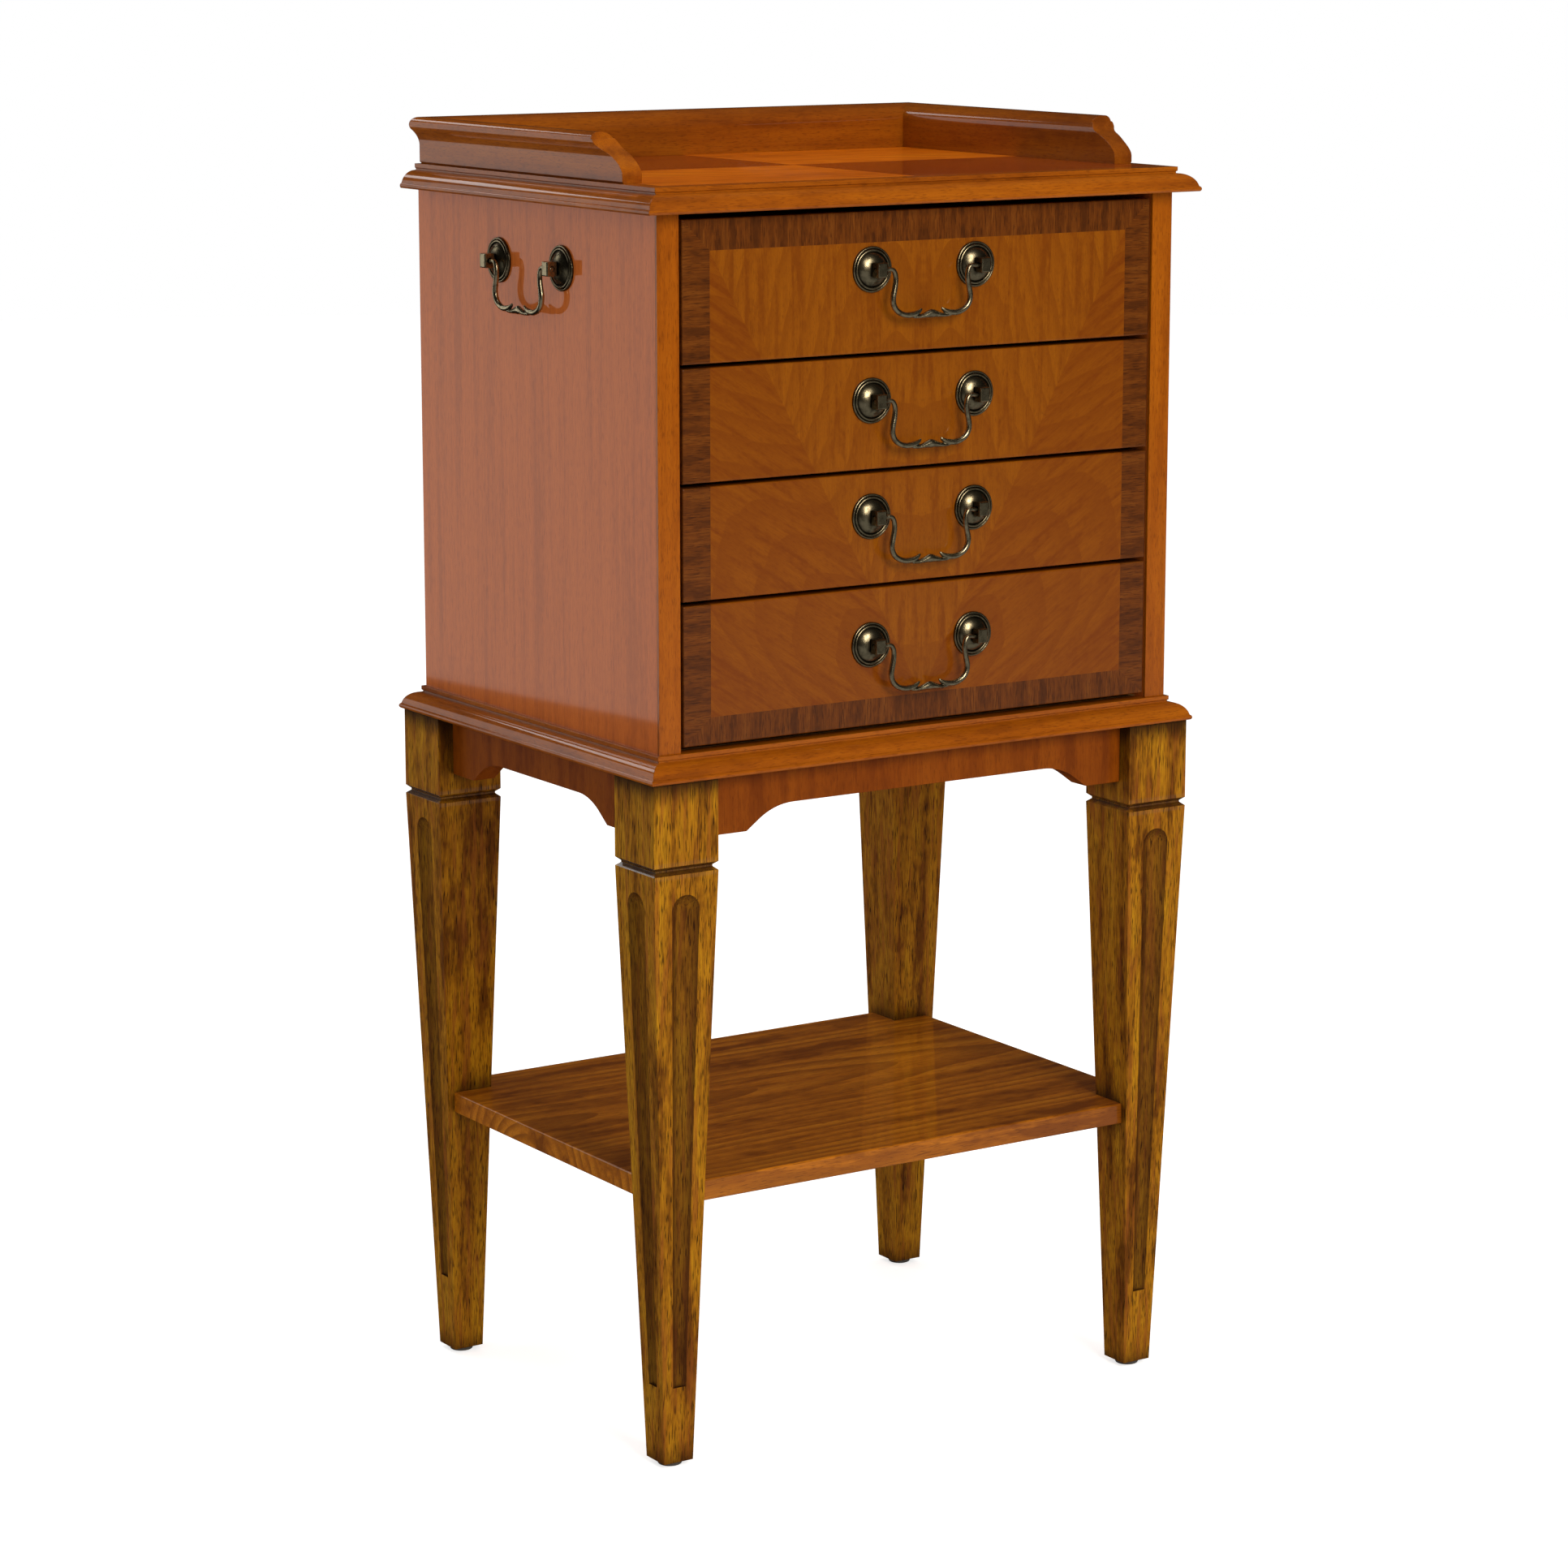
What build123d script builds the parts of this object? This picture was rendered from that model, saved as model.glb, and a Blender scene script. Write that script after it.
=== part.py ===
from build123d import *
import math
import os

# Jewelry armoire: a four-drawer chest with a moulded top and base, a low
# gallery round the top, four tapered fluted legs and a lower shelf.
# Millimetres. +Z up, drawers open toward -Y. X = 0 and Y = 0 are the middle
# of the case, Z = 0 is the floor.

# ---- driving dimensions -------------------------------------------------
case_width = 451.2          # over the outside of the side panels
case_depth = 344.4          # drawer faces to the back of the case
case_height = 382.4         # between the base and the top
board = 18.0                # side panels, base, top, aprons
overhang = 15.8             # mouldings beyond the case
strip_depth = 12.0          # how far the moulding strips run in under the case
lipping = 2.4               # solid edging on the front of the side panels
back_thick = 8.0
back_recess = 4.0

leg_length = 511.6
leg_top = 54.0              # square block at the top of a leg
leg_foot = 24.8             # square foot of a leg
leg_proud = 12.6            # leg faces stand out from the case
groove_height = 448.0       # necking groove, above the foot of the leg
groove_width = 6.4
groove_depth = 3.2
flute_top = 417.5           # springing of the arched end of a flute
flute_bottom = 57.8
flute_wide = 23.4
flute_narrow = 11.6
flute_depth = 4.6

apron_drop = 44.6           # bracket ends of an apron below the base
apron_rise = 17.4           # how much higher the middle of the lower edge is
bracket_flat = 31.8
bracket_slope = 36.0        # degrees from level, above the flat end of a bracket
bracket_round = 50.0        # radius that eases the slope into the level middle

shelf_top = 212.0           # above the foot of the legs
shelf_thick = 16.0
shelf_inset = 6.0           # shelf edges inside the faces of the legs

gallery_height = 34.6
gallery_foot = 16.0
gallery_inset = 1.6         # foot of the gallery inside the case faces
gallery_set_back = 48.0     # front ends of the gallery behind the drawer faces
gallery_sweep = 34.0        # run of the ogee that ends the side pieces

drawer_gap = 3.0            # between one drawer front and the next
gap_top = 5.0
gap_bottom = 4.0
drawer_side_gap = 2.6
tall_share = 0.2778         # top and bottom drawers, share of the four fronts
front_thick = 18.0
box_side = 10.0
box_behind = 14.4           # from the back of a drawer box to the back panel
box_low = 5.0               # box sides above the lower edge of the front
box_high = 9.0              # box sides below the upper edge of the front
bottom_thick = 4.0
bottom_up = 6.0             # bottom panel above the lower edge of the sides
tongue = 4.0                # how far the bottom panel runs into its grooves
felt = 1.2
runner_high = 12.0
runner_in = 4.6             # runner inside the face of the drawer side
slide_gap = 0.35

pull_centres = 90.6         # between the two posts of a drawer pull
pull_up = 9.3               # posts above the middle of a drawer front
side_pull_down = 46.4       # posts of the carrying handles below the top of the case
side_pull_back = 3.4        # their middle behind the middle of the case
rosette_radius = 16.6
post_out = 14.8             # front of a post from the wood
post_wide = 8.2
post_high = 10.6
post_deep = 8.0
pivot_out = 10.6
rod = 3.6
pin_gap = 0.3
bail_half = 33.7            # widest part of a bail, half of it
bail_drop = 32.1            # lowest run of the rod below the pivots
bolt = 4.0
glide_height = 4.0
glide_radius = 9.0

# ---- levels -------------------------------------------------------------
leg_z = glide_height
base_z = leg_z + leg_length
case_z = base_z + board
top_z = case_z + case_height
deck_z = top_z + board
half_w = case_width / 2
half_d = case_depth / 2
inner_w = half_w - board
front_y = -half_d
back_y = half_d

os.makedirs("parts", exist_ok=True)
nodes = {}


def block(x0, x1, y0, y1, z0, z1):
    """Rectangular solid between two corners."""
    mid = Location(((x0 + x1) / 2, (y0 + y1) / 2, (z0 + z1) / 2))
    return mid * Box(abs(x1 - x0), abs(y1 - y0), abs(z1 - z0))


def prism(points, z0, z1):
    """Upright solid over a plan outline."""
    face = make_face(Polyline(*points, close=True))
    return Location((0, 0, z0)) * extrude(face, amount=z1 - z0)


def save(name, *solids):
    nodes[name] = solids
    shape = solids[0] if len(solids) == 1 else Compound(children=list(solids))
    export_step(shape, "parts/" + name + ".step")


def run_along(face_fn, side, length):
    """Extrude a section drawn as (outward, up) along one side of the case.

    side is 0 front, 1 right, 2 back, 3 left; the section's outward axis
    points away from the case there and the run is centred on the origin.
    """
    turn = Location((0, 0, 0), (0, 0, 90 * side))
    section = Plane.YZ * face_fn()
    bar = Location((-length / 2, 0, 0)) * extrude(section, amount=length)
    # (outward, up) sits on +Y here; the front faces -Y
    return turn * (Location((0, 0, 0), (0, 0, 180)) * bar)


def solid_of(shape):
    return shape.solids()[0] if len(shape.solids()) == 1 else shape


# ---- mouldings ----------------------------------------------------------
def moulding_section():
    """Fillet, quirk, ovolo and bead, from the case plane outward."""
    e = overhang / 15.8
    t = board / 18.0
    inner = -strip_depth
    lines = [
        Polyline((inner, 0), (2.8 * e, 0), (2.8 * e, -3.0 * t), (1.9 * e, -3.6 * t),
                 (1.9 * e, -4.7 * t), (3.0 * e, -4.9 * t)),
        ThreePointArc((3.0 * e, -4.9 * t), (9.7 * e, -7.1 * t), (14.0 * e, -13.0 * t)),
        Polyline((14.0 * e, -13.0 * t), (14.4 * e, -14.2 * t)),
        ThreePointArc((14.4 * e, -14.2 * t), (15.8 * e, -16.3 * t), (14.8 * e, -board)),
        Polyline((14.8 * e, -board), (inner, -board), (inner, 0)),
    ]
    return make_face(lines)


far = 60.0                  # more than any section reaches past the case


def mitre_cut(side, z0, z1, square_back=False):
    """Plan wedge that one side's moulding keeps between its mitres."""
    w = half_w + far
    d = half_d + far
    cut = strip_depth + 40.0
    if side in (0, 2):
        s = -1 if side == 0 else 1
        pts = [(-w, s * d), (w, s * d), (half_w - cut, s * (half_d - cut)),
               (-(half_w - cut), s * (half_d - cut))]
    else:
        s = 1 if side == 1 else -1
        rear = half_d if square_back else d
        rear_in = half_d if square_back else half_d - cut
        pts = [(s * w, -d), (s * w, rear), (s * (half_w - cut), rear_in),
               (s * (half_w - cut), -(half_d - cut))]
    return prism(pts, z0, z1)


def moulding(side, top, square_back=False):
    along = case_width if side in (0, 2) else case_depth
    out = half_d if side in (0, 2) else half_w
    bar = run_along(moulding_section, side, along + 2 * far)
    shift = {0: (0, -out), 1: (out, 0), 2: (0, out), 3: (-out, 0)}[side]
    bar = Location((shift[0], shift[1], top)) * bar
    return solid_of(bar & mitre_cut(side, top - board - 5, top + 5, square_back))


in_w = half_w - strip_depth
in_d = half_d - strip_depth
side_names = {0: "front", 1: "right", 2: "back", 3: "left"}
for side in (0, 1, 2, 3):
    save("base_moulding_" + side_names[side], moulding(side, case_z))
for side in (0, 1, 3):
    save("top_moulding_" + side_names[side], moulding(side, deck_z, square_back=True))
save("base_panel", block(-in_w, in_w, -in_d, in_d, base_z, case_z))
save("top_panel", block(-in_w, in_w, -in_d, back_y, top_z, deck_z))


# ---- gallery ------------------------------------------------------------
def gallery_section():
    """Upright foot, hollow outside, rounded nose rolling outward on top."""
    h = gallery_height / 34.6
    w = gallery_foot / 16.5
    inner = -gallery_foot
    lines = [
        Polyline((inner, 0), (-1.0, 0), (0, 1.2 * h), (0, 14.0 * h)),
        ThreePointArc((0, 14.0 * h), (1.3 * w, 20.0 * h), (4.9 * w, 25.6 * h)),
        ThreePointArc((4.9 * w, 25.6 * h), (5.9 * w, 28.9 * h), (0.2 * w, gallery_height)),
        Polyline((0.2 * w, gallery_height), (-3.2 * w, gallery_height)),
        ThreePointArc((-3.2 * w, gallery_height), (-12.6 * w, 30.7 * h), (inner, 21.3 * h)),
        Polyline((inner, 21.3 * h), (inner, 0)),
    ]
    return make_face(lines)


def gallery_piece(side):
    face_x = half_w - gallery_inset
    face_y = half_d
    along = case_width if side == 2 else case_depth
    bar = run_along(gallery_section, side, along + 2 * far)
    shift = {1: (face_x, 0), 2: (0, face_y), 3: (-face_x, 0)}[side]
    bar = Location((shift[0], shift[1], deck_z)) * bar
    z0 = deck_z - 5
    z1 = deck_z + gallery_height + 5
    if side == 2:
        pts = [(-face_x - far, face_y + far), (face_x + far, face_y + far),
               (face_x - far, face_y - far), (-face_x + far, face_y - far)]
        return solid_of(bar & prism(pts, z0, z1))
    s = 1 if side == 1 else -1
    pts = [(s * (face_x + far), face_y + far), (s * (face_x - far), face_y - far),
           (s * (face_x - far), -half_d - far), (s * (face_x + far), -half_d - far)]
    bar = bar & prism(pts, z0, z1)
    return solid_of(bar - gallery_end_cutter())


def gallery_end_cutter():
    """Everything in front of the ogee that ends the two side pieces."""
    y0 = front_y + gallery_set_back
    k = gallery_sweep / 34.0
    h = gallery_height / 34.6
    curve = [(y0, 5.0 * h), (y0 + 2.2 * k, 10.2 * h), (y0 + 9.0 * k, 15.6 * h),
             (y0 + 20.0 * k, 21.2 * h), (y0 + 28.4 * k, 25.6 * h),
             (y0 + 32.6 * k, 30.0 * h), (y0 + 34.0 * k, gallery_height + 2.0)]
    pts = [(y, deck_z + z) for y, z in curve]
    low = deck_z - 10
    high = deck_z + gallery_height + 2.0
    lines = [
        Polyline((front_y - far, low), (y0, low), pts[0]),
        Spline(*pts, tangents=[(0, 1), (0, 1)]),
        Polyline(pts[-1], (front_y - far, high), (front_y - far, low)),
    ]
    face = Plane.YZ * make_face(lines)
    wide = case_width + 2 * far
    return Location((-wide / 2, 0, 0)) * extrude(face, amount=wide)


for side in (1, 2, 3):
    save("gallery_" + side_names[side], gallery_piece(side))


# ---- metal pulls --------------------------------------------------------
def rosette_post(stud):
    """Stepped rosette, square-headed post and stud, standing out along +Z.

    The wood's face is Z = 0 and the pivot hole runs along X.
    """
    r = rosette_radius
    outline = [
        Polyline((0, 0), (r, 0), (r, 1.0)),
        ThreePointArc((r, 1.0), (r - 0.9, 1.9), (r - 1.8, 1.2)),
        ThreePointArc((r - 1.8, 1.2), (r - 2.9, 2.5), (r - 4.0, 1.6)),
        ThreePointArc((r - 4.0, 1.6), (r * 0.5, 4.6), (0, 5.8)),
        Polyline((0, 5.8), (0, 0)),
    ]
    disc = revolve(Plane.XZ * make_face(outline), Axis.Z)
    neck_top = post_out - post_deep
    neck = Cylinder(3.2, neck_top, align=(Align.CENTER, Align.CENTER, Align.MIN))
    head = Location((0, 0, post_out - post_deep / 2)) * Box(post_wide, post_high, post_deep)
    head = fillet(head.edges().group_by(Axis.Z)[-1], 1.0)
    hole = Location((0, 0, pivot_out), (0, 90, 0)) * Cylinder(rod / 2 + pin_gap, post_wide + 2)
    shank = Location((0, 0, -stud)) * Cylinder(
        bolt / 2, stud + 1.0, align=(Align.CENTER, Align.CENTER, Align.MIN))
    return solid_of((disc + neck + head + shank) - hole)


def bail():
    """Swan-neck rod from pivot to pivot, with a leaf and two horns at its middle.

    Hangs in the XZ plane below the pivot line, which runs along X. The path
    is straight runs joined by tangent arcs.
    """
    pin = pull_centres / 2 + post_wide / 2 - 0.6
    b = bail_half
    d = bail_drop
    half = [(pin, 0), (b - 3.1, 0), (b + 1.2, -0.6 * d), (b - 1.1, -d)]
    pts = half + [(-x, z) for x, z in reversed(half)]
    radii = [4.2, 16.0, 0.28 * d, 0.28 * d, 16.0, 4.2]
    path = FilletPolyline(*[(x, 0, z) for x, z in pts], radius=radii)
    section = Plane(origin=(pin, 0, 0), z_dir=(-1, 0, 0)) * Circle(rod / 2)
    tube = sweep(section, path=path)
    leaf = [(-12.6, -d - 1.2), (-9.2, -d + 0.4), (-9.4, -d + 3.4), (-6.6, -d + 0.4),
            (-3.6, -d + 1.4), (0, -d + 2.8), (3.6, -d + 1.4), (6.6, -d + 0.4),
            (9.4, -d + 3.4), (9.2, -d + 0.4), (12.6, -d - 1.2), (7.0, -d - 2.5),
            (0, -d - 2.9), (-7.0, -d - 2.5)]
    plate = extrude(Plane.XZ * make_face(Polyline(*leaf, close=True)), amount=2.3, both=True)
    return solid_of(tube + plate)


post_solid = {}
for name, stud in (("drawer", front_thick + 3.6), ("side", 14.0)):
    post_solid[name] = rosette_post(stud)
bail_solid = bail()
nut = Cylinder(5.0, 3.0, align=(Align.CENTER, Align.CENTER, Align.MIN))
nut_solid = solid_of(nut - Cylinder(bolt / 2, 20.0))
# stand the post's +Z out along -Y with its width still across X
out_front = Location((0, 0, 0), (90, 0, 0))
half_pull = pull_centres / 2


# ---- case ---------------------------------------------------------------
side_pull_z = top_z - side_pull_down
pull_y = [side_pull_back - half_pull, side_pull_back + half_pull]
for name, s in (("left", -1), ("right", 1)):
    panel = block(s * inner_w, s * half_w, front_y + lipping, back_y, case_z, top_z)
    for y in pull_y:
        hole = Location((s * half_w, y, side_pull_z), (0, 90, 0)) * Cylinder(bolt / 2, 28.0)
        panel = panel - hole
    save("case_side_" + name, solid_of(panel))
edging = [block(s * inner_w, s * half_w, front_y, front_y + lipping, case_z, top_z)
          for s in (-1, 1)]
save("case_lipping", *edging)
back_face = back_y - back_recess - back_thick
save("case_back", block(-inner_w, inner_w, back_face, back_y - back_recess, case_z, top_z))


# ---- drawers ------------------------------------------------------------
fronts = case_height - gap_top - gap_bottom - 3 * drawer_gap
tall = fronts * tall_share
short = fronts * (0.5 - tall_share)
heights = [tall, short, short, tall]
front_half = inner_w - drawer_side_gap
groove_in = runner_in + slide_gap
runner_solids = []
drawer_bands = []
upper = top_z - gap_top
for number, height in enumerate(heights, start=1):
    drawer_bands.append((number, upper - height, upper))
    upper = upper - height - drawer_gap

for number, z0, z1 in drawer_bands:
    tag = "drawer_%d_" % number
    pull_z = (z0 + z1) / 2 + pull_up
    face_back = front_y + front_thick
    box_back = back_face - box_behind
    low = z0 + box_low
    high = z1 - box_high
    floor_z = low + bottom_up
    runner_z = (low + high) / 2 + 2.0
    box_in = front_half - box_side

    front = block(-front_half, front_half, front_y, face_back, z0, z1)
    front = fillet(front.faces().sort_by(Axis.Y)[0].edges(), 1.0)
    slot = block(-box_in - tongue, box_in + tongue, face_back - tongue, face_back + 1,
                 floor_z, floor_z + bottom_thick)
    front = front - slot
    for s in (-1, 1):
        hole = Location((s * half_pull, front_y, pull_z), (90, 0, 0)) * Cylinder(bolt / 2, 60.0)
        front = front - hole
    save(tag + "front", solid_of(front))

    sides = []
    for s in (-1, 1):
        panel = block(s * box_in, s * front_half, face_back, box_back, low, high)
        floor_slot = block(s * (box_in - 1), s * (box_in + tongue), face_back - 1, box_back + 1,
                           floor_z, floor_z + bottom_thick)
        runner_slot = block(s * (front_half - groove_in), s * (front_half + 1),
                            face_back - 1, box_back + 1,
                            runner_z - runner_high / 2 - slide_gap,
                            runner_z + runner_high / 2 + slide_gap)
        sides.append(solid_of(panel - floor_slot - runner_slot))
        runner_solids.append(block(s * (front_half - runner_in), s * inner_w,
                                   face_back + 2.0, back_face,
                                   runner_z - runner_high / 2, runner_z + runner_high / 2))
    save(tag + "sides", *sides)
    save(tag + "back", block(-box_in, box_in, box_back - box_side, box_back,
                             floor_z + bottom_thick, high))
    save(tag + "bottom", block(-box_in - tongue, box_in + tongue, face_back - tongue, box_back,
                               floor_z, floor_z + bottom_thick))
    floor_top = floor_z + bottom_thick
    rim = high - 4.0
    tray = block(-box_in, box_in, face_back, box_back - box_side, floor_top, rim)
    hollow = block(-box_in + felt, box_in - felt, face_back + felt, box_back - box_side - felt,
                   floor_top + felt, rim + 1)
    lining = tray - hollow
    for s in (-1, 1):
        hole = Location((s * half_pull, face_back, pull_z), (90, 0, 0)) * Cylinder(6.0, 2 * felt + 2)
        lining = lining - hole
    save(tag + "lining", solid_of(lining))

    posts = []
    for s in (-1, 1):
        at = Location((s * half_pull, front_y, pull_z))
        posts.append(at * (out_front * post_solid["drawer"]))
        posts.append(Location((s * half_pull, face_back, pull_z), (-90, 0, 0)) * nut_solid)
    save(tag + "pull_posts", *posts)
    save(tag + "pull_bail", Location((0, front_y - pivot_out, pull_z)) * bail_solid)
save("drawer_runners", *runner_solids)

# ---- carrying handles on the two sides ----------------------------------
for name, s in (("left", -1), ("right", 1)):
    turn = Location((0, 0, 0), (0, 0, -90 if s < 0 else 90))
    posts = []
    for y in pull_y:
        at = Location((s * half_w, y, side_pull_z))
        posts.append(at * (turn * (out_front * post_solid["side"])))
    save("handle_%s_posts" % name, *posts)
    at = Location((s * (half_w + pivot_out), side_pull_back, side_pull_z))
    save("handle_%s_bail" % name, at * (turn * bail_solid))


# ---- legs ---------------------------------------------------------------
def frustum(size0, z0, size1, z1):
    low = Location((0, 0, z0)) * Rectangle(size0, size0)
    high = Location((0, 0, z1)) * Rectangle(size1, size1)
    return loft([low, high])


taper_top = groove_height - groove_width / 2


def face_out(z):
    """Distance of a tapered face from the middle of the leg at height z."""
    return leg_foot / 2 + (leg_top - leg_foot) / 2 * z / taper_top


def flute_cutter():
    """Narrowing round-bottomed hollow on the -Y face, with a domed upper end."""
    def radius(width, depth):
        return (width / 2) ** 2 / (2 * depth) + depth / 2

    shallow = flute_depth * flute_narrow / flute_wide
    r1 = radius(flute_wide, flute_depth)
    r0 = radius(flute_narrow, shallow)
    low = Vector(0, -(face_out(flute_bottom) + r0 - shallow), flute_bottom)
    high = Vector(0, -(face_out(flute_top) + r1 - flute_depth), flute_top)
    axis = high - low
    cone = Solid.make_cone(r0, r1, axis.length, Plane(origin=low, z_dir=axis))
    ball = Location(high) * Sphere(r1)
    return cone + ball


def leg():
    """Leg with its two fluted faces on -X and -Y, standing on Z = 0."""
    waist = leg_top - 2 * groove_depth
    flat = groove_width * 0.1
    g0 = groove_height - groove_width / 2
    g1 = groove_height + groove_width / 2
    body = frustum(leg_foot, 0, leg_top, g0)
    body = body + frustum(leg_top, g0, waist, groove_height - flat)
    body = body + frustum(waist, groove_height - flat, waist, groove_height + flat)
    body = body + frustum(waist, groove_height + flat, leg_top, g1)
    body = body + frustum(leg_top, g1, leg_top, leg_length)
    cutter = flute_cutter()
    body = body - cutter
    body = body - Location((0, 0, 0), (0, 0, -90)) * cutter
    return solid_of(body)


leg_solid = leg()
leg_x = half_w + leg_proud - leg_top / 2
leg_y = half_d + leg_proud - leg_top / 2
corners = [("front_left", -1, -1, 0), ("front_right", 1, -1, 90),
           ("back_right", 1, 1, 180), ("back_left", -1, 1, 270)]
standing = []
for name, sx, sy, angle in corners:
    placed = Location((sx * leg_x, sy * leg_y, leg_z), (0, 0, angle)) * leg_solid
    standing.append(placed)
    save("leg_" + name, placed)

# ---- aprons -------------------------------------------------------------
def apron_face(half_span):
    """Upright outline between two legs: bracket ends, arched middle."""
    top = base_z
    low = base_z - apron_drop
    mid = low + apron_rise
    slope = math.radians(bracket_slope)
    a = half_span - bracket_flat
    corner = a - apron_rise / math.tan(slope)
    reach = bracket_round * math.tan(slope / 2)
    b = corner - reach
    start = (corner + reach * math.cos(slope), mid - reach * math.sin(slope))
    via = (b + bracket_round * math.sin(slope / 2), mid - bracket_round * (1 - math.cos(slope / 2)))
    lines = [
        Polyline((-half_span, low), (-half_span, top), (half_span, top), (half_span, low),
                 (a, low), start),
        ThreePointArc(start, via, (b, mid)),
        Polyline((b, mid), (-b, mid)),
        ThreePointArc((-b, mid), (-via[0], via[1]), (-start[0], start[1])),
        Polyline((-start[0], start[1]), (-a, low), (-half_span, low)),
    ]
    return make_face(lines)


span_x = leg_x - leg_top / 2
span_y = leg_y - leg_top / 2
for name, s in (("front", -1), ("back", 1)):
    plate = extrude(Plane.XZ * apron_face(span_x), amount=board / 2, both=True)
    save("apron_" + name, Location((0, s * (half_d - board / 2), 0)) * plate)
for name, s in (("left", -1), ("right", 1)):
    plate = extrude(Plane.YZ * apron_face(span_y), amount=board / 2, both=True)
    save("apron_" + name, Location((s * (half_w - board / 2), 0, 0)) * plate)

# ---- corner blocks, shelf and glides ------------------------------------
brace = 34.0
blocks = []
for name, sx, sy, angle in corners:
    ax = half_w - board
    ay = half_d - board
    pts = [(span_x, ay), (span_x - brace, ay), (ax, span_y - brace), (ax, span_y),
           (span_x, span_y)]
    blocks.append(prism([(sx * x, sy * y) for x, y in pts], base_z - 20.0, base_z))
save("corner_blocks", *blocks)

shelf_z = leg_z + shelf_top
edge = leg_top / 2 - face_out(shelf_top) + shelf_inset
sx = half_w + leg_proud - edge
sy = half_d + leg_proud - edge
shelf = block(-sx, sx, -sy, sy, shelf_z - shelf_thick, shelf_z)
shelf = fillet(shelf.edges().filter_by(Axis.Z, reverse=True), 1.2)
for placed in standing:
    shelf = shelf - placed
# the corners outside the legs are sawn away, so the shelf ends between them
for ux in (-1, 1):
    for uy in (-1, 1):
        cx = ux * (leg_x)
        cy = uy * (leg_y)
        far_x = ux * (sx + 5)
        far_y = uy * (sy + 5)
        waste = block(cx, far_x, cy, far_y, shelf_z - shelf_thick - 1, shelf_z + 1)
        shelf = shelf - waste
save("lower_shelf", solid_of(shelf))

glides = []
for name, ux, uy, angle in corners:
    glide = Location((ux * leg_x, uy * leg_y, 0)) * Cylinder(
        glide_radius, glide_height, align=(Align.CENTER, Align.CENTER, Align.MIN))
    glides.append(fillet(glide.edges().group_by(Axis.Z)[0], 1.2))
save("foot_glides", *glides)

for name, solids in nodes.items():
    volume = sum(s.volume for s in solids)
    print("%-26s %2d solid(s) %12.1f mm3" % (name, sum(len(s.solids()) for s in solids), volume))
print(len(nodes), "nodes; overall height", round(deck_z + gallery_height, 1))
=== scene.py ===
import math

import bmesh
import bpy
from mathutils import Matrix, Vector


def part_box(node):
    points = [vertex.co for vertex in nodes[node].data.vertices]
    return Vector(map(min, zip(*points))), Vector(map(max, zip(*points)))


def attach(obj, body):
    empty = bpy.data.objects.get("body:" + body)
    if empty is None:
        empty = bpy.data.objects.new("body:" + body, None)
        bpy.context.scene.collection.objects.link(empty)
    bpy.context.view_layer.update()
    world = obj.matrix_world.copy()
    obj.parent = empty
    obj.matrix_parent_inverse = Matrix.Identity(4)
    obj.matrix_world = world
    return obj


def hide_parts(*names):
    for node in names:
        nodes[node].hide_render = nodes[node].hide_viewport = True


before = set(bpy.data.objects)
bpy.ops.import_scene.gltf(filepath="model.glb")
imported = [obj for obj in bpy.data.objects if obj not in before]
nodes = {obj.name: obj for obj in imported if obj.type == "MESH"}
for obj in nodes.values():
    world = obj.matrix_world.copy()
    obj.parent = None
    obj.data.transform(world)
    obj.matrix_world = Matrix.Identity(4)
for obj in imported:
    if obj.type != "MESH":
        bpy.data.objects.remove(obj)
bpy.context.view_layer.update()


# ---- Legs -------------------------------------------------------------------
# Four square legs of solid oak, tapered to the foot, with a V groove round the
# neck and a stopped flute in each outer face. Stained golden brown, glazed dark
# in the pores, with painted shade in the hollows, in the flutes and round the
# top under the case, and waxed to a satin finish.

def paint(code):
    """An sRGB hex colour as the linear colour that a shader socket takes."""
    parts = [int(code[i:i + 2], 16) / 255 for i in (1, 3, 5)]
    return [p / 12.92 if p <= 0.04045 else ((p + 0.055) / 1.055) ** 2.4 for p in parts] + [1.0]


def add(tree, kind, sockets=None, stops=None, **settings):
    """Adds a node. A socket takes a value, a node (its first output) or (node, output)."""
    node = tree.nodes.new("ShaderNode" + kind)
    for name, value in settings.items():
        setattr(node, name, value)
    if stops:
        ramp = node.color_ramp
        while len(ramp.elements) < len(stops):
            ramp.elements.new(0.5)
        for element, (place, colour) in zip(ramp.elements, stops):
            element.position = place
            element.color = paint(colour) if isinstance(colour, str) else [colour] * 3 + [1.0]
    for name, value in (sockets or {}).items():
        if isinstance(value, bpy.types.Node):
            value = (value, 0)
        if isinstance(value, tuple) and isinstance(value[0], bpy.types.Node):
            tree.links.new(value[0].outputs[value[1]], node.inputs[name])
        else:
            node.inputs[name].default_value = value
    return node


def surface(name):
    """An empty node material, with its tree and its output node."""
    material = bpy.data.materials.new(name)
    material.use_nodes = True
    material.node_tree.nodes.clear()
    return material, material.node_tree, add(material.node_tree, "OutputMaterial")


def along(axis, across, length):
    """Mapping scale for marks that many millimetres across and long, running along an axis."""
    return [1000 / (length if a == axis else across) for a in "XYZ"]


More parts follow.
